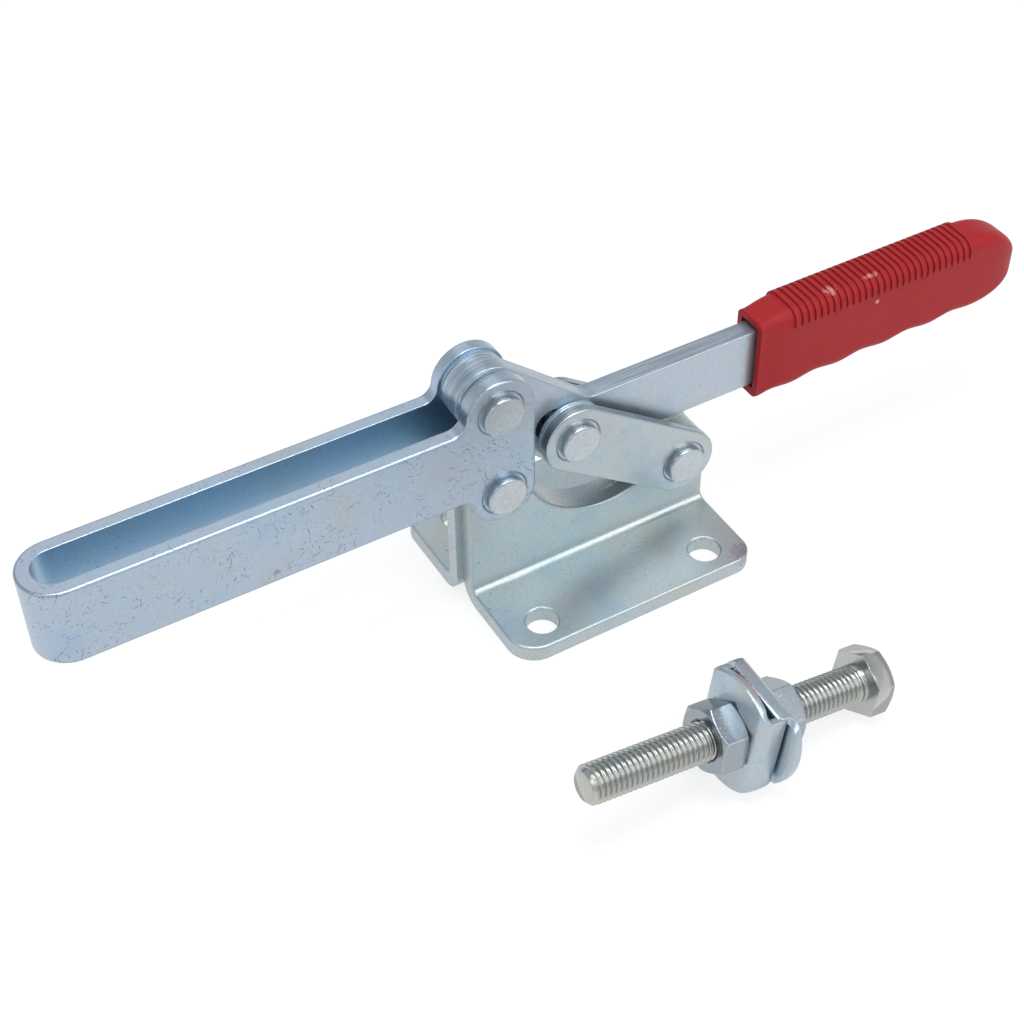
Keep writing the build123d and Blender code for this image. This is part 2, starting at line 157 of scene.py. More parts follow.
camera = placed("camera", bpy.data.cameras.new("camera"))
camera.data.lens = LENS_MM
camera.data.sensor_width = SENSOR_MM
camera.matrix_world = Matrix.Translation(AIM + back * DISTANCE) @ Matrix((right, up, back)).transposed().to_4x4()
bpy.context.scene.camera = camera
bpy.context.scene.view_settings.view_transform = "Standard"
print("camera at", [round(c, 3) for c in camera.location])

# %% [markdown]
# Studio
# Plated metal has almost no colour of its own: it shows the room. The room here is a pale studio. The world is
# brighter towards the horizon and dimmer overhead, which separates the tops of the plates from their sides. Broad
# soft lamps add the bright line along the rounded edges. The front lamp lies where the upright of the base looks,
# after a second reflection in the flange, and the top lamp lifts the upper faces without showing in them. The floor
# glows white for the rays that see it directly or in a reflection, but keeps a share of ordinary diffuse paper, so
# that the contact shadows stay.

# %% World, floor and lamps
SKY_HORIZON = "eef1f4"
SKY_ZENITH = "bfc5cb"
ZENITH_FROM = 0.9
SKY_STRENGTH = 0.9
FLOOR_PAPER = "f4f5f6"
FLOOR_GLOW = 0.8
FLOOR_HALF_M = 4.0
LAMPS = {
    "front": {"place": (0.55, -0.95, 1.05), "size": 1.1, "watts": 9.5},
    "left": {"place": (-1.1, -0.5, 1.1), "size": 0.8, "watts": 3.0},
    "top": {"place": (0.0, -0.1, 1.5), "size": 0.7, "watts": 13.0},
    "rim": {"place": (0.15, 1.0, 1.2), "size": 0.9, "watts": 1.2},
}


def seen_directly(tree):
    """1 for camera, glossy and transmission rays, 0 for the rays that carry diffuse light."""
    ray = node(tree, "ShaderNodeLightPath").outputs
    seen = maths(tree, "ADD", ray["Is Camera Ray"], ray["Is Glossy Ray"])
    return maths(tree, "ADD", seen, ray["Is Transmission Ray"], use_clamp=True)


world = bpy.data.worlds.new("studio")
bpy.context.scene.world = world
world.use_nodes = True
tree = world.node_tree
tree.nodes.clear()
direction = node(tree, "ShaderNodeSeparateXYZ", {0: node(tree, "ShaderNodeTexCoord").outputs["Generated"]})
height = ramp(tree, direction.outputs["Z"], 0.0, ZENITH_FROM, interpolation_type="SMOOTHSTEP")
sky = node(tree, "ShaderNodeBackground", {"Color": blend(tree, height, linear(SKY_HORIZON), linear(SKY_ZENITH)),
                                          "Strength": SKY_STRENGTH})
backdrop = node(tree, "ShaderNodeBackground", {"Color": WHITE, "Strength": 1.0})
camera_ray = node(tree, "ShaderNodeLightPath").outputs["Is Camera Ray"]
shown = node(tree, "ShaderNodeMixShader", {0: camera_ray, 1: sky.outputs[0], 2: backdrop.outputs[0]})
node(tree, "ShaderNodeOutputWorld", {"Surface": shown.outputs[0]})

paper = empty_material("white_paper")
tree = paper.node_tree
diffuse = node(tree, "ShaderNodeBsdfDiffuse", {"Color": linear(FLOOR_PAPER)})
glow = node(tree, "ShaderNodeEmission", {"Color": WHITE, "Strength": 1.0})
share = maths(tree, "MULTIPLY", seen_directly(tree), FLOOR_GLOW)
surface = node(tree, "ShaderNodeMixShader", {0: share, 1: diffuse.outputs[0], 2: glow.outputs[0]})
node(tree, "ShaderNodeOutputMaterial", {"Surface": surface.outputs[0]})

floor = placed("floor", bpy.data.meshes.new("floor"))
corners = [(x * FLOOR_HALF_M, y * FLOOR_HALF_M, 0) for x, y in ((-1, -1), (1, -1), (1, 1), (-1, 1))]
floor.data.from_pydata(corners, [], [(0, 1, 2, 3)])
floor.data.materials.append(paper)

for name, lamp in LAMPS.items():
    light = bpy.data.lights.new(name, "AREA")
    light.size = lamp["size"]
    light.energy = lamp["watts"]
    holder = placed(name, light)
    holder.location = lamp["place"]
    holder.rotation_euler = (AIM - holder.location).to_track_quat("-Z", "Y").to_euler()
print("studio: world, floor and", len(LAMPS), "lamps")

# %% [markdown]
# Bright zinc
# The plates, arm, lever and links are pressed steel with an electroplated zinc coat and a clear passivate. Such a coat
# is a bluish metal, soft rather than mirror-like, because it follows the rolled skin of the sheet. The passivate
# leaves faint clouds of blue, green and straw. Tumbling in the plating barrel leaves hairline scratches and small
# dark pits and nicks, and rubs the edges bright. A painted highlight is laid along the edges together with that wear,
# with a thin line of painted shade beside it, and faces that look into a bend can take a bluer painted shade. A
# material for each piece would repeat all of this many times. So one function builds the finish from real sizes in
# millimetres, and each kind of piece calls it with its own values, since a rolled plate, a washer and a screw don't
# look alike.

# %% The parts of a zinc finish
# a scale is in cells to a millimetre, and a pair of levels holds the two ends of a mask's range
FILM = {0.34: "a9c0da", 0.45: "c3d2d6", 0.56: "cfcfd6", 0.68: "ccc9b9"}
STAIN_SCALE, STAIN_RAGGED = 0.9, 0.35                  # its outline wanders by this share of its reach
NICK_SIZES = ((4.6, 2.9, 0.19), (1.9, 0.9, 0.17))      # cell, half length and half width in millimetres
NICK_TAPER, NICK_SOFT = 0.6, 0.4                       # where a nick starts to fade, along it and across it
NICK_BEND = 0.5
NICK_CHANCE = (0.25, 0.6)
NICK_BREAK_SCALE, NICK_BREAKS = 0.9, (0.36, 0.5)
NICKS_GATHER = (0.42, 0.56)
NICKS_SCATTERED, NICKS_INSIDE = 0.12, 0.15             # strength away from the gathered ones, and inside a bend
PIT_RADIUS = (0.05, 0.17)                              # in cells
PITS_GATHER = (0.46, 0.62)
GATHER_SCALE = 0.11
HAIRLINE_TURN, HAIRLINE_SCALES = (0.05, 0.12, 0.16), (0.03, 2.2, 2.2)
HAIRLINE_LEVELS = (0.61, 0.68)
BAND_SCALES, BAND_LEVELS = (0.05, 1.5, 0.05), (0.4, 0.62)
SHEARED_EDGE = (0.2, 0.6)                              # the normal's part along Y, where an edge ends and a face starts


def film_colour(tree, mm, cloud_mm):
    """Clouds of passivate."""
    film = node(tree, "ShaderNodeValToRGB", {0: noise(tree, mm, 1 / cloud_mm)})
    stops = film.color_ramp.elements
    first, *between, last = FILM.items()
    for stop, (position, colour) in zip(stops, (first, last)):
        stop.position, stop.color = position, linear(colour)
    for position, colour in between:
        stops.new(position).color = linear(colour)
    return film.outputs[0]


def marked(tree, mm, colour, marks):
    """A colour with ragged spots on it: each mark is a centre, a reach along x, y and z, a colour and a strength."""
    for centre, reach, stain, strength in marks:
        apart = vector_maths(tree, "DIVIDE", vector_maths(tree, "SUBTRACT", mm, centre), reach)
        ragged = maths(tree, "ADD", vector_maths(tree, "LENGTH", apart),
                       ramp(tree, noise(tree, mm, STAIN_SCALE, 4.0), 0.3, 0.7, -STAIN_RAGGED, STAIN_RAGGED))
        colour = blend(tree, ramp(tree, ragged, 0.4, 1.0, strength, 0.0), colour, linear(stain))
    return colour


def short_strokes(tree, mm, cell_mm, half_length, half_width):
    """Short curved strokes, one to a Voronoi cell, each turned its own way."""
    cells = node(tree, "ShaderNodeTexVoronoi", {"Vector": mm, "Scale": 1 / cell_mm, "Randomness": 1.0})
    away = vector_maths(tree, "SUBTRACT", mm, cells.outputs["Position"])
    x, y, z = node(tree, "ShaderNodeSeparateXYZ", {0: away}).outputs
    across = maths(tree, "ADD", y, z)
    chance = node(tree, "ShaderNodeSeparateColor", {0: cells.outputs["Color"]}).outputs
    angle = maths(tree, "MULTIPLY", chance[0], 2 * math.pi)
    cosine, sine = maths(tree, "COSINE", angle), maths(tree, "SINE", angle)
    u = maths(tree, "ADD", maths(tree, "MULTIPLY", x, cosine), maths(tree, "MULTIPLY", across, sine))
    v = maths(tree, "SUBTRACT", maths(tree, "MULTIPLY", across, cosine), maths(tree, "MULTIPLY", x, sine))
    bend = maths(tree, "MULTIPLY", maths(tree, "SUBTRACT", chance[1], 0.5), NICK_BEND)
    v = maths(tree, "ADD", v, maths(tree, "MULTIPLY", maths(tree, "MULTIPLY", u, u), bend))
    long = ramp(tree, maths(tree, "ABSOLUTE", u), half_length * NICK_TAPER, half_length, 1.0, 0.0)
    thin = ramp(tree, maths(tree, "ABSOLUTE", v), half_width * NICK_SOFT, half_width, 1.0, 0.0)
    kept = ramp(tree, chance[2], *NICK_CHANCE)
    return maths(tree, "MULTIPLY", maths(tree, "MULTIPLY", long, thin), kept)


def pits_and_nicks(tree, mm, say, inwards):
    """Dark pits and strokes, mostly where a broad noise lets them gather, and few of them inside a bend."""
    gather = noise(tree, mm, GATHER_SCALE, 2.0)
    cells = node(tree, "ShaderNodeTexVoronoi", {"Vector": mm, "Scale": 1 / say["pit_mm"], "Randomness": 1.0})
    pits = maths(tree, "MULTIPLY", ramp(tree, cells.outputs["Distance"], *PIT_RADIUS, 1.0, 0.0),
                 ramp(tree, gather, *PITS_GATHER, 0.0, say["pits"]))
    if not say["nicks"]:
        return pits
    strokes = maths(tree, "MAXIMUM", *(short_strokes(tree, mm, *size) for size in NICK_SIZES))
    broken = ramp(tree, noise(tree, mm, NICK_BREAK_SCALE), *NICK_BREAKS)
    strokes = maths(tree, "MULTIPLY", maths(tree, "MULTIPLY", strokes, broken),
                    ramp(tree, gather, *NICKS_GATHER, NICKS_SCATTERED, say["nicks"]))
    if inwards is not None:
        strokes = maths(tree, "MULTIPLY", strokes, ramp(tree, inwards, -1.0, 1.0, 1.0, NICKS_INSIDE))
    return maths(tree, "MAXIMUM", pits, strokes)


def hairlines(tree, mm, strength):
    """Fine scratches: noise drawn out along the piece and cut to thin bands."""
    drawn = node(tree, "ShaderNodeMapping", {"Vector": mm, "Rotation": HAIRLINE_TURN, "Scale": HAIRLINE_SCALES})
    return ramp(tree, noise(tree, drawn.outputs[0], 1.0, 5.0, 0.8), *HAIRLINE_LEVELS, 0.0, strength)


def sheared_bands(tree, mm, out_of_sheet, strength):
    """Bands that run along a sheared edge, across the thickness of the sheet."""
    edge_on = ramp(tree, maths(tree, "ABSOLUTE", out_of_sheet), *SHEARED_EDGE, strength, 0.0)
    drawn = node(tree, "ShaderNodeMapping", {"Vector": mm, "Scale": BAND_SCALES})
    band = ramp(tree, noise(tree, drawn.outputs[0], 1.0, 4.0, 0.7), *BAND_LEVELS, 1.0, 0.0)
    return maths(tree, "MULTIPLY", band, edge_on)


print("nicks are", " and ".join(str(2 * size[1]) for size in NICK_SIZES), "mm long at most")

# %% A zinc finish from its parts
PLATED = {
    "metallic": 1.0, "rough": (0.26, 0.42),                         # how far it is metal, and how sharp it mirrors
    "tint": 0.5, "cloud_mm": 16.0,                                  # the film's strength, and its clouds' size
    "grain_mm": 0.7, "grain_bump": 0.012, "mottle": 0.12,           # the rolled skin: size, relief, darkening
    "pits": 0.5, "pit_mm": 2.6, "nicks": 0.0, "hairlines": 0.25,    # wear
    "edge_mm": 0.35, "edge_light": 0.35, "outline": 0.35,           # corners: radius, rubbed wear with a painted highlight, painted shade line beside it
    "shear": 0.0,                                                   # bands on sheared edges
    "inner": None,                                                  # a painted shade colour for faces towards the middle plane
    "marks": (),                                                    # single stains, as marked() takes them
}
PALE = "dde3e8"
WEAR_DEPTH = 0.04 * MM
BEVEL_SAMPLES = 6
INNER_SHADE_MM = (2.0, 5.0)                                  # distance from the middle plane where the inner colour, a painted shade, comes
MOTTLE_LEVELS = (0.42, 0.68)
# how far the rounded normal has turned, as a cosine: where the bright edge, rubbed wear with a painted highlight, and
# its painted shade line come and go
BRIGHT_EDGE_TURN = (0.995, 0.86)
SHADE_LINE_COMES, SHADE_LINE_GOES = (0.9998, 0.998), (0.96, 0.985)


def plated_metal(name, metal, deep, **changes):
    """Zinc over steel: metal is its colour, deep is its colour for wear, mottle and the painted shade line by each
    edge.
    """
    say = {**PLATED, **changes}
    mat = empty_material(name)
    tree = mat.node_tree
    mm = in_millimetres(tree)
    smooth_normal = node(tree, "ShaderNodeNewGeometry").outputs["Normal"]
    normal_y = node(tree, "ShaderNodeSeparateXYZ", {0: smooth_normal}).outputs["Y"]

    # the metal under its film of passivate, with the stains
    inwards = None
    colour = linear(metal)
    if say["inner"]:
        # painted shade: faces that look towards the middle plane, such as the inside of the bent bar, get the inner
        # colour
        y_mm = node(tree, "ShaderNodeSeparateXYZ", {0: mm}).outputs["Y"]
        inwards = maths(tree, "MULTIPLY", maths(tree, "MULTIPLY", normal_y, y_mm), -1.0)
        colour = blend(tree, ramp(tree, inwards, *INNER_SHADE_MM), colour, linear(say["inner"]))
    film = blend(tree, say["tint"], WHITE, film_colour(tree, mm, say["cloud_mm"]))
    body = marked(tree, mm, blend(tree, 1.0, colour, film, blend_type="MULTIPLY"), say["marks"])

    # wear, and the skin's own mottle
    grain = noise(tree, mm, 1 / say["grain_mm"], 4.0, 0.65)
    mottled = ramp(tree, grain, *MOTTLE_LEVELS, 0.0, say["mottle"])
    worn = pits_and_nicks(tree, mm, say, inwards)
    line = hairlines(tree, mm, say["hairlines"])
    sheared = sheared_bands(tree, mm, normal_y, say["shear"])

    # a rounded normal softens each corner. Where it turns from the surface's own, the edge is painted bright, as rubbed
    # wear and a painted highlight together, with a thin line of painted shade beside it
    rounded = node(tree, "ShaderNodeBevel", {"Radius": say["edge_mm"] * MM}, samples=BEVEL_SAMPLES).outputs[0]
    turned = vector_maths(tree, "DOT_PRODUCT", rounded, smooth_normal)
    rubbed_wear_and_highlight = maths(tree, "MULTIPLY", ramp(tree, turned, *BRIGHT_EDGE_TURN, 0.0, say["edge_light"]),
                   ramp(tree, noise(tree, mm, 1.4, 2.0), 0.35, 0.6, 0.25, 1.0))
    outline = maths(tree, "MULTIPLY", ramp(tree, turned, *SHADE_LINE_COMES, 0.0, say["outline"]),
                    ramp(tree, turned, *SHADE_LINE_GOES))

    # the dark mix: pits, nicks, sheared bands and mottle are wear and grain, the line beside each edge is painted shade
    dark = maths(tree, "MAXIMUM", maths(tree, "MAXIMUM", worn, sheared), maths(tree, "MAXIMUM", outline, mottled))
    shaded = blend(tree, dark, body, linear(deep))
    # the pale mix: the hairlines are wear, the bright edge is rubbed wear and a painted highlight
    finished = blend(tree, maths(tree, "MAXIMUM", line, rubbed_wear_and_highlight), shaded, linear(PALE))
    skin = node(tree, "ShaderNodeBump", {"Height": grain, "Distance": say["grain_bump"] * MM, "Strength": 1.0,
                                         "Normal": rounded})
    cut = node(tree, "ShaderNodeBump", {"Height": maths(tree, "ADD", worn, line), "Distance": WEAR_DEPTH,
                                        "Strength": 1.0, "Normal": skin.outputs[0]}, invert=True)
    shader = node(tree, "ShaderNodeBsdfPrincipled", {"Base Color": finished, "Metallic": say["metallic"],
                                                     "Roughness": ramp(tree, grain, 0.3, 0.7, *say["rough"]),
                                                     "Normal": cut.outputs[0]})
    node(tree, "ShaderNodeOutputMaterial", {"Surface": shader.outputs[0]})
    return mat


print("zinc finish takes", len(PLATED), "values")

# %% The zinc finishes of this clamp
ZINC = {
    # rolled strip bent into the arm: bright and blue, with a bluer painted shade inside the bend, edges rubbed bright
    # under a strong painted highlight, nicks all along the bar and a rust spot on its side
    "arm": plated_metal("bright_zinc_bent_bar", "bccad8", "4c5963", tint=0.4, cloud_mm=26.0, pits=0.6, nicks=0.75,
                        inner="b2d0e6", mottle=0.1, hairlines=0.1, edge_light=0.6, edge_mm=0.5,
                        marks=(((-108.1, -11.1, 54.2), (1.6, 1.0, 1.2), "8a7468", 0.6),)),
    # hot-rolled plate pressed into the base: duller, cloudier and more pitted, with a handling stain at one corner
    "plate": plated_metal("bright_zinc_pressed_plate", "c9d2d3", "4f5e69", metallic=0.84, tint=0.5, cloud_mm=14.0,
                          pits=0.8, nicks=0.35, rough=(0.28, 0.44), grain_mm=0.5, grain_bump=0.03, mottle=0.32,
                          edge_light=0.6, marks=(((40.5, -34.0, 4.0), (6.0, 5.0, 4.0), "8c7480", 0.55),)),
    # blanked bar: clean faces, with bands on the sheared edges
    "blank": plated_metal("bright_zinc_blanked_steel", "c1cbd4", "52626d", metallic=0.85, tint=0.4, shear=0.45),
    # links: blanked too, with a faint straw film
    "link": plated_metal("bright_zinc_links", "ced6d9", "4b6878", tint=0.55, cloud_mm=11.0, shear=0.6),
    # thin washers seen edge on
    "washer": plated_metal("bright_zinc_washers", "cad9e2", "35586e", metallic=0.65, tint=0.4, shear=0.85,
                           pits=0.3, rough=(0.2, 0.34)),
    # riveted heads: closed under a die, so smooth and a little warmer
    "pin": plated_metal("zinc_rivet_heads", "cad1d5", "5c656b", tint=0.35, grain_mm=1.6, rough=(0.2, 0.3),
                        pits=0.4, pit_mm=1.6, mottle=0.1, grain_bump=0.002, edge_light=0.5),
    # screw and head: barrel-plated hardware, glossier and more neutral, with a straw film at the head
    "hardware": plated_metal("barrel_plated_hardware", "c0c1bc", "5a5e60", tint=0.25, cloud_mm=8.0, pits=0.2,
                             rough=(0.16, 0.28), edge_mm=0.25, grain_bump=0.004, edge_light=0.5, mottle=0.06,
                             marks=(((-60.0, -101.9, 15.0), (9.0, 16.0, 16.0), "c9b98c", 0.35),)),
    # nuts: darker, with corners rubbed by the wrench and a painted highlight on them
    "nut": plated_metal("barrel_plated_nuts", "a4abb1", "4c5256", tint=0.25, cloud_mm=8.0, pits=0.4,
                        rough=(0.16, 0.26), edge_mm=0.5, grain_bump=0.003, edge_light=0.85, mottle=0.08),
    # folded guide washers: like the plate, with lips rubbed bright under a painted highlight, and a trace of marking
    # ink
    "guide": plated_metal("bright_zinc_folded_washers", "c9d3da", "50606c", tint=0.5, cloud_mm=10.0, pits=0.5,
                          nicks=0.3, edge_light=0.5, marks=(((-5.9, -98.3, 32.0), (1.1, 9.0, 2.2), "ab4a63", 0.8),)),
}
print("zinc finishes:", ", ".join(ZINC))

# %% [markdown]
# Red grip
# The grip is soft vinyl, moulded over the bar. Vinyl has a broad satin shine rather than a gloss. It picks up pale
# scuffs where it is handled, most of all on the ribs and corners, and its colour is a little uneven, because the
# pigment flows with the melt. A single flat red would look like painted metal, and so would a hard surface: a trace
# of subsurface scatter keeps the thin ribs soft.

# %% Moulded red vinyl
RED, RED_OF_FLOW, SCUFF = "8c161a", "931d22", "d08a8a"
SCUFF_TURN, SCUFF_SCALES = (0.3, 0.5, 0.2), (0.5, 1.6, 2.6)
SCUFF_LEVELS, HANDLED_LEVELS, MOST_SCUFFED = (0.64, 0.74), (0.45, 0.62), 0.45
SATIN = (0.40, 0.56)
RIB_EDGE = 0.5 * MM
SKIN_RELIEF = 0.03 * MM
SCATTER = (1.2 * MM, 0.3 * MM, 0.2 * MM)
RUBBED = (((67.6, -7.6, 71.1), (3.0, 1.5, 1.2), "dca3a3", 0.6), ((89.1, -4.2, 71.2), (2.5, 2.5, 1.5), "d59a9a", 0.5),
          ((104.7, -4.5, 71.2), (3.5, 1.2, 1.5), "d59a9a", 0.5), ((106.6, -7.6, 61.7), (1.0, 1.0, 1.0), "dca3a3", 0.6))

vinyl = empty_material("moulded_red_vinyl")
tree = vinyl.node_tree
mm = in_millimetres(tree)
red = blend(tree, noise(tree, mm, 0.06, 3.0, 0.5), linear(RED), linear(RED_OF_FLOW))
smear = node(tree, "ShaderNodeMapping", {"Vector": mm, "Rotation": SCUFF_TURN, "Scale": SCUFF_SCALES})
scuffs = ramp(tree, noise(tree, smear.outputs[0], 1.0, 6.0, 0.75), *SCUFF_LEVELS)
handled = ramp(tree, noise(tree, mm, 0.05, 1.0, 0.5), *HANDLED_LEVELS, 0.0, MOST_SCUFFED)
scuffed = blend(tree, maths(tree, "MULTIPLY", scuffs, handled), red, linear(SCUFF))
skin = noise(tree, mm, 2.5, 5.0, 0.7)
rounded = node(tree, "ShaderNodeBevel", {"Radius": RIB_EDGE}, samples=BEVEL_SAMPLES)
bump = node(tree, "ShaderNodeBump", {"Height": skin, "Distance": SKIN_RELIEF, "Strength": 1.0,
                                     "Normal": rounded.outputs[0]})
shader = node(tree, "ShaderNodeBsdfPrincipled", {
    "Base Color": marked(tree, mm, scuffed, RUBBED), "Roughness": ramp(tree, skin, 0.3, 0.7, *SATIN), "IOR": 1.5,
    "Specular IOR Level": 0.17, "Normal": bump.outputs[0], "Subsurface Weight": 0.06, "Subsurface Radius": SCATTER,
    "Subsurface Scale": 1.0}, subsurface_method="BURLEY")
node(tree, "ShaderNodeOutputMaterial", {"Surface": shader.outputs[0]})
print("vinyl nodes:", len(tree.nodes))

# %% [markdown]
# The screw thread
# The spindle is an M12 screw with a coarse thread, 1.75 mm from crest to crest, which the solid leaves as a plain
# shank. A thread could be made by the Screw modifier, or by winding a wedge round a curve, but both leave loose
# ends. Here a flat grid is rolled up: one side of the grid runs round the axis and the other along it, skewed by
# one pitch for each turn, so that its rows follow the helix and every crest is clean. The radius of each point comes
# from how far it is through its pitch. At the tip the radius is held under a cone, which gives the chamfer, and
# near the head the groove runs out.

# %% Where the spindle lies, read from the frame
front_nut = sum(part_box("spindle_nut_front"), Vector()) / 2
rear_nut = sum(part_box("spindle_nut_rear"), Vector()) / 2
axis = (rear_nut - front_nut).normalized()
bolt = NODES["spindle_bolt"].data
along = [(v.co - front_nut).dot(axis) for v in bolt.vertices]
out = [((v.co - front_nut) - axis * d).length for v, d in zip(bolt.vertices, along)]
tip = front_nut + axis * min(along)
shank_r = max(r for r, d in zip(out, along) if d < 0)
head_at = min(d for r, d in zip(out, along) if r > shank_r + 0.5 * MM) - min(along)
level = Vector((0, 0, 1)).cross(axis).normalized()
SPINDLE = Matrix.Translation(tip) @ Matrix((level, axis.cross(level), axis)).transposed().to_4x4()
print("shank", round(2 * shank_r / MM, 2), "mm by", round(head_at / MM, 1), "mm")

# %% The thread as a rolled-up grid
THREAD_PITCH = 1.75 * MM
THREAD_DEPTH = 1.0 * MM
ROOT_TO, CREST_FROM = 0.16, 0.9
RUN_OUT_TO, RUN_OUT_FROM = 0.4, 2.2
DEPTH_AT_HEAD = 0.35
TIP_CHAMFER = 1.4 * MM
ROWS_PER_PITCH = 12
SEGMENTS = 56
IN_HEAD = 0.3 * MM
END_SLOPE = 8.0
NUDGE = 0.001
WELD = 0.002 * MM

thread = bpy.data.node_groups.new("screw_thread", "GeometryNodeTree")
sizes = {"Length": head_at, "Pitch": THREAD_PITCH, "Radius": shank_r, "Depth": THREAD_DEPTH, "Chamfer": TIP_CHAMFER}
thread.interface.new_socket("Geometry", in_out="INPUT", socket_type="NodeSocketGeometry")
for name in sizes:
    thread.interface.new_socket(name, in_out="INPUT", socket_type="NodeSocketFloat")
thread.interface.new_socket("Finish", in_out="INPUT", socket_type="NodeSocketMaterial")
thread.interface.new_socket("Geometry", in_out="OUTPUT", socket_type="NodeSocketGeometry")
given = node(thread, "NodeGroupInput").outputs


def math_of(operation, *values):
    """The result of one operation in the thread's tree."""
    return maths(thread, operation, *values)


turns = math_of("ADD", math_of("CEIL", math_of("DIVIDE", given["Length"], given["Pitch"])), 2.0)
rows = math_of("MULTIPLY", turns, float(ROWS_PER_PITCH))
grid = node(thread, "GeometryNodeMeshGrid", {"Size X": 1.0, "Size Y": 1.0, "Vertices X": SEGMENTS + 1,
                                             "Vertices Y": math_of("ADD", rows, 1.0)})
on_grid = node(thread, "ShaderNodeSeparateXYZ", {0: node(thread, "GeometryNodeInputPosition").outputs[0]})
round_share = math_of("ADD", on_grid.outputs["X"], 0.5)
pitches = math_of("MULTIPLY", math_of("ADD", on_grid.outputs["Y"], 0.5), turns)
end = math_of("ADD", given["Length"], IN_HEAD)
wound = math_of("MULTIPLY", math_of("SUBTRACT", math_of("ADD", pitches, round_share), 1.0), given["Pitch"])
z = math_of("MINIMUM", math_of("MAXIMUM", wound, 0.0), end)
print("thread rows per pitch:", ROWS_PER_PITCH, "segments:", SEGMENTS)

# %% Crest, root, tip chamfer and run-out
through = math_of("FRACT", math_of("ADD", pitches, NUDGE))
from_root = math_of("MULTIPLY", math_of("ABSOLUTE", math_of("SUBTRACT", through, 0.5)), 2.0)
flank = ramp(thread, from_root, ROOT_TO, CREST_FROM, interpolation_type="SMOOTHSTEP")
run_out_ends = math_of("SUBTRACT", given["Length"], math_of("MULTIPLY", given["Pitch"], RUN_OUT_TO))
run_out_starts = math_of("SUBTRACT", given["Length"], math_of("MULTIPLY", given["Pitch"], RUN_OUT_FROM))
run_out = ramp(thread, z, run_out_ends, run_out_starts, DEPTH_AT_HEAD, 1.0, interpolation_type="SMOOTHSTEP")
depth = math_of("MULTIPLY", given["Depth"], run_out)
tip_radius = math_of("SUBTRACT", given["Radius"], given["Chamfer"])
at_tip = math_of("ADD", tip_radius, z)
at_end = math_of("ADD", tip_radius, math_of("MULTIPLY", math_of("SUBTRACT", end, z), END_SLOPE))
radius = math_of("SUBTRACT", given["Radius"], math_of("MULTIPLY", depth, math_of("SUBTRACT", 1.0, flank)))
radius = math_of("MINIMUM", math_of("MINIMUM", radius, at_tip), at_end)
turn = math_of("MULTIPLY", round_share, 2 * math.pi)
point = node(thread, "ShaderNodeCombineXYZ", {"X": math_of("MULTIPLY", radius, math_of("COSINE", turn)),
                                              "Y": math_of("MULTIPLY", radius, math_of("SINE", turn)), "Z": z})
rolled = node(thread, "GeometryNodeSetPosition", {"Geometry": grid.outputs["Mesh"], "Position": point.outputs[0]})
cap = node(thread, "GeometryNodeMeshCircle", {"Vertices": SEGMENTS, "Radius": tip_radius}, fill_type="NGON")
lift = node(thread, "ShaderNodeCombineXYZ", {"Z": end})
far_cap = node(thread, "GeometryNodeTransform", {"Geometry": cap.outputs[0], "Translation": lift.outputs[0]})
joined = node(thread, "GeometryNodeJoinGeometry")
for part in (far_cap.outputs[0], cap.outputs[0], rolled.outputs[0]):
    thread.links.new(part, joined.inputs[0])
closed = node(thread, "GeometryNodeMergeByDistance", {"Geometry": joined.outputs[0], "Distance": WELD})
plain = node(thread, "GeometryNodeRealizeInstances", {"Geometry": closed.outputs[0]})
dressed = node(thread, "GeometryNodeSetMaterial", {"Geometry": plain.outputs[0], "Material": given["Finish"]})
node(thread, "NodeGroupOutput", {"Geometry": dressed.outputs[0]})
print("thread tree nodes:", len(thread.nodes))

# %% [markdown]
# The spindle piece
# The thread is given its sizes, evaluated once and kept as a plain mesh. The head could be modelled again, but it is
# in the solid already: a merged copy loses its shank, and the hole that is left in the head's under-side is closed
# with one flat face.

# %% Helpers for finished meshes
SHARP_ANGLE = math.radians(38)


def evaluated_mesh(thing):
    """The mesh of an object after its modifiers."""
    bpy.context.view_layer.update()
    return bpy.data.meshes.new_from_object(thing.evaluated_get(bpy.context.evaluated_depsgraph_get()))


def smooth_but_for_corners(mesh):
    """Smooth shading, with the sharp corners kept."""
    mesh.polygons.foreach_set("use_smooth", [True] * len(mesh.polygons))
    mesh.set_sharp_from_angle(angle=SHARP_ANGLE)


def open_edges(mesh):
    """How many edges don't join exactly two faces."""
    check = bmesh.new()
    check.from_mesh(mesh)
    count = sum(not edge.is_manifold for edge in check.edges)
    check.free()
    return count


print("corners are sharp from", round(math.degrees(SHARP_ANGLE)), "degrees")

# %% Thread and head in one piece
host = placed("thread_host", bpy.data.meshes.new("thread_host"))
cutter = host.modifiers.new("thread", "NODES")
cutter.node_group = thread
sockets = {item.name: item.identifier for item in thread.interface.items_tree if item.in_out == "INPUT"}
for name, value in sizes.items():
    cutter[sockets[name]] = value
cutter[sockets["Finish"]] = ZINC["hardware"]
thread_mesh = evaluated_mesh(host)
bpy.data.objects.remove(host)
thread_mesh.transform(SPINDLE)

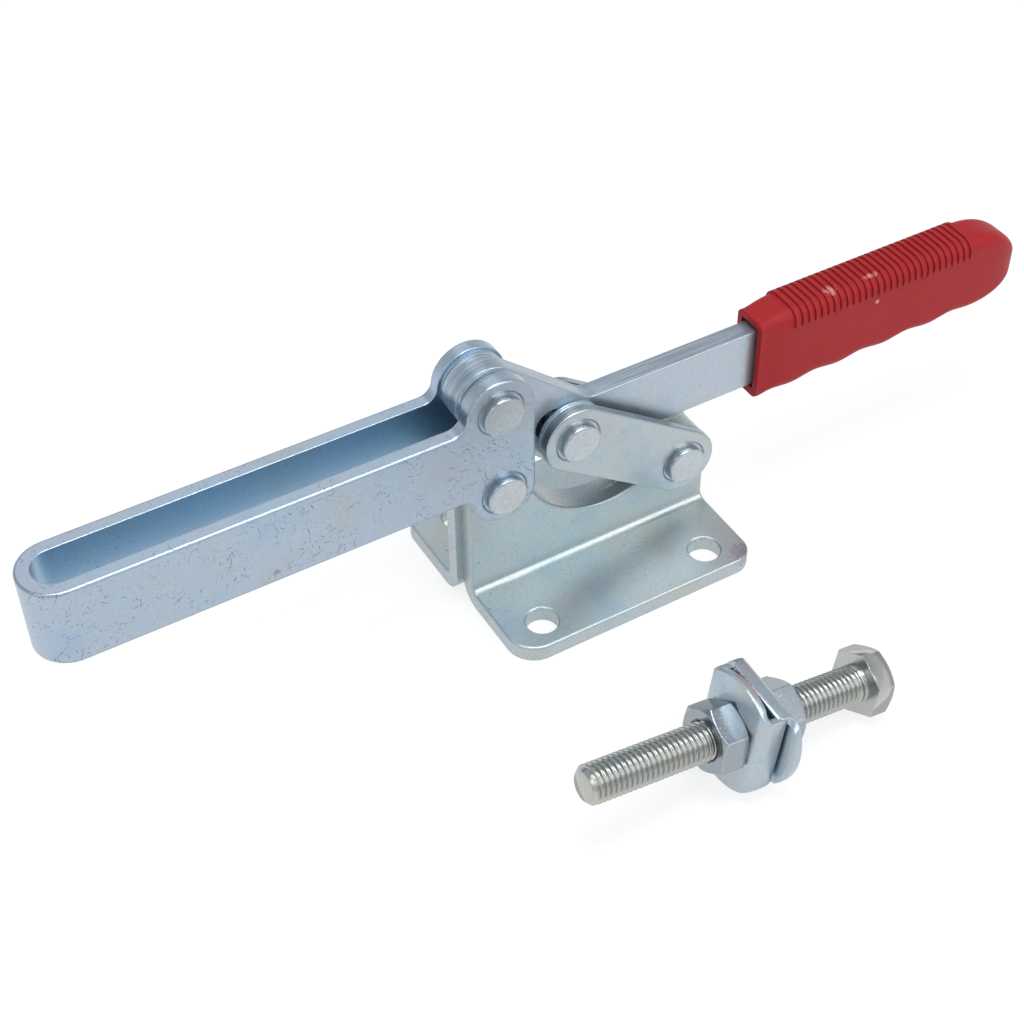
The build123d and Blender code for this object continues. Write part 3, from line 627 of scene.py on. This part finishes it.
to_axis = SPINDLE.inverted()
solid = bmesh.new()
solid.from_mesh(NODES["spindle_bolt"].data)
bmesh.ops.remove_doubles(solid, verts=solid.verts, dist=WELD)
shank = [v for v in solid.verts if (to_axis @ v.co).z < head_at - 0.01 * MM]
bmesh.ops.delete(solid, geom=shank, context="VERTS")
bmesh.ops.holes_fill(solid, edges=[e for e in solid.edges if e.is_boundary], sides=0)
for face in solid.faces:
    face.material_index = 0
solid.from_mesh(thread_mesh)
bmesh.ops.recalc_face_normals(solid, faces=solid.faces)
screw_mesh = bpy.data.meshes.new("spindle_screw")
solid.to_mesh(screw_mesh)
solid.free()
screw_mesh.materials.append(ZINC["hardware"])
smooth_but_for_corners(screw_mesh)
screw = placed("spindle_screw", screw_mesh)
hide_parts("spindle_bolt")
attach(screw, "base")
print("spindle screw:", len(screw_mesh.polygons), "faces,", open_edges(screw_mesh), "open edges")

# %% [markdown]
# Folded guide washers
# Two guide washers sit back to back on the screw. Each is a round blank with two opposite sides folded up square, so
# that it can't turn on the bar it grips. A solid of a folded sheet is easily left with sharp chords where the blank
# met the fold. Here each washer is laid out as the press makes it: a row of stations runs across the sheet, through
# one fold, over the plate and through the other, and at each station the sheet is as wide as the round blank is
# there. The rim is then broken by a small bevel, and the bore is cut last.

# %% The folded sheet
SHEET_T = 2.5 * MM
BLANK_R = 18.5 * MM
FOLD_R = 1.0 * MM
FOLD_STEPS = 8
PLATE_STEPS = 40
LIP_STEPS = 6
LIP_CORNER_R = 2.0 * MM


def across_the_sheet(half_span, lip_depth):
    """Stations from one lip's free edge to the other's: outer point, inner point and half-width at each."""
    outer_r = FOLD_R + SHEET_T
    flat_to = half_span - outer_r
    stations = []
    for i in range(LIP_STEPS):
        rise = lip_depth - (lip_depth - outer_r) * i / LIP_STEPS
        corner = max(0.0, LIP_CORNER_R - (lip_depth - rise))
        narrower = LIP_CORNER_R - math.sqrt(LIP_CORNER_R ** 2 - corner ** 2)
        wide = math.sqrt(BLANK_R ** 2 - half_span ** 2) - narrower
        stations.append(((-half_span, rise), (-half_span + SHEET_T, rise), wide))
    for i in range(FOLD_STEPS + 1):
        angle = math.pi + 0.5 * math.pi * i / FOLD_STEPS
        spot = [(-flat_to + r * math.cos(angle), outer_r + r * math.sin(angle)) for r in (outer_r, FOLD_R)]
        stations.append((spot[0], spot[1], math.sqrt(BLANK_R ** 2 - spot[0][0] ** 2)))
    for i in range(1, PLATE_STEPS // 2 + 1):
        x = -flat_to * (1 - 2 * i / PLATE_STEPS)
        stations.append(((x, 0.0), (x, SHEET_T), math.sqrt(BLANK_R ** 2 - x ** 2)))
    other_half = [((-a[0], a[1]), (-b[0], b[1]), wide) for a, b, wide in stations[-2::-1]]
    return stations + other_half


def folded_sheet(name, place, half_span, lip_depth):
    """The closed skin of a folded sheet, moved to its place."""
    sheet = bmesh.new()
    rows = []
    for outer, inner, wide in across_the_sheet(half_span, lip_depth):
        ring = [(outer, -wide), (outer, wide), (inner, wide), (inner, -wide)]
        rows.append([sheet.verts.new((spot[0], y, spot[1])) for spot, y in ring])
    for first, second in zip(rows, rows[1:]):
        for i in range(4):
            sheet.faces.new((first[i], first[(i + 1) % 4], second[(i + 1) % 4], second[i]))
    for row in (rows[0], rows[-1]):
        sheet.faces.new(row)
    sheet.transform(place)
    bmesh.ops.recalc_face_normals(sheet, faces=sheet.faces)
    skin_mesh = bpy.data.meshes.new(name + "_sheet")
    sheet.to_mesh(skin_mesh)
    sheet.free()
    return skin_mesh


print("washer blank:", round(2 * BLANK_R / MM, 1), "mm across and", round(SHEET_T / MM, 1), "mm thick")

# %% Folded washers
BORE_R = 6.6 * MM
BORE_SEGMENTS = 64
RIM_BEVEL = 0.35 * MM
RIM_STEPS = 2
RIM_ANGLE = math.radians(50)


def bevelled_and_bored(sheet, start):
    """A sheet with its rim broken and a bore through it, round the screw."""
    drill = bmesh.new()
    bmesh.ops.create_cone(drill, cap_ends=True, segments=BORE_SEGMENTS, radius1=BORE_R, radius2=BORE_R,
                          depth=4 * SHEET_T, matrix=SPINDLE @ Matrix.Translation((0, 0, start)))
    drill_mesh = bpy.data.meshes.new("drill")
    drill.to_mesh(drill_mesh)
    drill.free()
    blank, tool = placed("washer_blank", sheet), placed("drill", drill_mesh)
    rim = blank.modifiers.new("rim", "BEVEL")
    rim.width, rim.segments, rim.limit_method, rim.angle_limit = RIM_BEVEL, RIM_STEPS, "ANGLE", RIM_ANGLE
    bore = blank.modifiers.new("bore", "BOOLEAN")
    bore.object, bore.operation, bore.solver = tool, "DIFFERENCE", "EXACT"
    cut = evaluated_mesh(blank)
    for thing in (blank, tool):
        bpy.data.objects.remove(thing)
    return cut


def folded_washer(name, node_name, start, lips_towards, turn, half_span, lip_depth):
    """A washer whose plate starts at a place along the screw, with lips towards the head (1) or the tip (-1)."""
    place = (SPINDLE @ Matrix.Translation((0, 0, start)) @ Matrix.Rotation(math.radians(turn), 4, "Z")
             @ Matrix.Rotation(0.0 if lips_towards > 0 else math.pi, 4, "X"))
    cut = bevelled_and_bored(folded_sheet(name, place, half_span, lip_depth), start)
    cut.materials.clear()
    cut.materials.append(ZINC["guide"])
    smooth_but_for_corners(cut)
    washer = placed(name, cut)
    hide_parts(node_name)
    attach(washer, "base")
    print(name, len(cut.polygons), "faces,", open_edges(cut), "open edges")


def along_screw(name):
    """The lowest and highest place of a solid along the screw, from its tip."""
    places = [(v.co - tip).dot(axis) for v in NODES[name].data.vertices]
    return min(places), max(places)


folded_washer("folded_washer_front", "flanged_washer_front", along_screw("flanged_washer_front")[0],
              lips_towards=1, turn=-1.7, half_span=13.2 * MM, lip_depth=8.2 * MM)
folded_washer("folded_washer_rear", "flanged_washer_rear", along_screw("flanged_washer_rear")[1],
              lips_towards=-1, turn=94.4, half_span=14.6 * MM, lip_depth=6.6 * MM)

# %% [markdown]
# Dressing the solids
# The other pieces keep their own shapes, so they only get a finish. They could be dressed one by one, but names say
# which piece is made of what, so each finish is chosen by the start of the name.

# %% Finishes for the solids
FINISH_OF = {
    "base_plate": ZINC["plate"], "u_bar_arm": ZINC["arm"], "handle_lever": ZINC["blank"], "handle_grip": vinyl,
    "link_near": ZINC["link"], "link_far": ZINC["link"], "pin": ZINC["pin"], "handle_spacer": ZINC["washer"],
    "arm_washer": ZINC["washer"], "link_washer": ZINC["washer"], "toggle_ring": ZINC["washer"],
    "spindle_nut": ZINC["nut"], "spindle": ZINC["hardware"], "flanged_washer": ZINC["guide"],
}
for name, piece in NODES.items():
    finish = next(material for start, material in FINISH_OF.items() if name.startswith(start))
    for slot in piece.material_slots:
        slot.material = finish
print("dressed", len(NODES), "solids")
